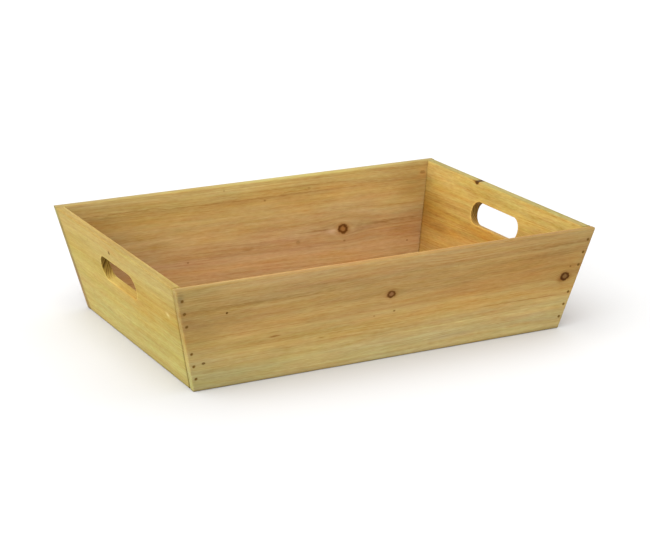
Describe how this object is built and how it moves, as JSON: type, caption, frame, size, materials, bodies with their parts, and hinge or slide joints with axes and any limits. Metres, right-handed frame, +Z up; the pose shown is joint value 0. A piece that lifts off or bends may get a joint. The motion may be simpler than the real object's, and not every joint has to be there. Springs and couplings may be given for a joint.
{
  "type": "flared wooden tray",
  "caption": "Shallow rectangular wooden tray basket with outward-leaning board walls, nailed butt corners, a thin plywood base and a slotted hand hole through each end board.",
  "frame": {"origin": "centre of the underside of the base", "axes": "+X along the tray's length, the front board faces -Y, +Z up through the open top"},
  "size_m": [0.42, 0.3036, 0.1005],
  "materials": {
    "side_boards": "planed softwood, light clear finish",
    "end_boards": "planed softwood, light clear finish",
    "base": "thin sanded plywood",
    "nails": "dulled dark steel wire nails"
  },
  "bodies": {
    "root": {"front_board": "side_boards", "back_board": "side_boards", "left_end_board": "end_boards", "right_end_board": "end_boards", "base_panel": "base", "front_left_nail_1": "nails", "front_left_nail_2": "nails", "front_left_nail_3": "nails", "front_left_nail_4": "nails", "front_left_nail_5": "nails", "front_left_nail_6": "nails", "front_right_nail_1": "nails", "front_right_nail_2": "nails", "front_right_nail_3": "nails", "front_right_nail_4": "nails", "front_right_nail_5": "nails", "front_right_nail_6": "nails", "back_left_nail_1": "nails", "back_left_nail_2": "nails", "back_left_nail_3": "nails", "back_left_nail_4": "nails", "back_left_nail_5": "nails", "back_left_nail_6": "nails", "back_right_nail_1": "nails", "back_right_nail_2": "nails", "back_right_nail_3": "nails", "back_right_nail_4": "nails", "back_right_nail_5": "nails", "back_right_nail_6": "nails", "front_base_pin_1": "nails", "front_base_pin_2": "nails", "front_base_pin_3": "nails", "front_base_pin_4": "nails", "front_base_pin_5": "nails", "back_base_pin_1": "nails", "back_base_pin_2": "nails", "back_base_pin_3": "nails", "back_base_pin_4": "nails", "back_base_pin_5": "nails", "left_base_pin_1": "nails", "left_base_pin_2": "nails", "left_base_pin_3": "nails", "right_base_pin_1": "nails", "right_base_pin_2": "nails", "right_base_pin_3": "nails"}
  },
  "joints": []
}
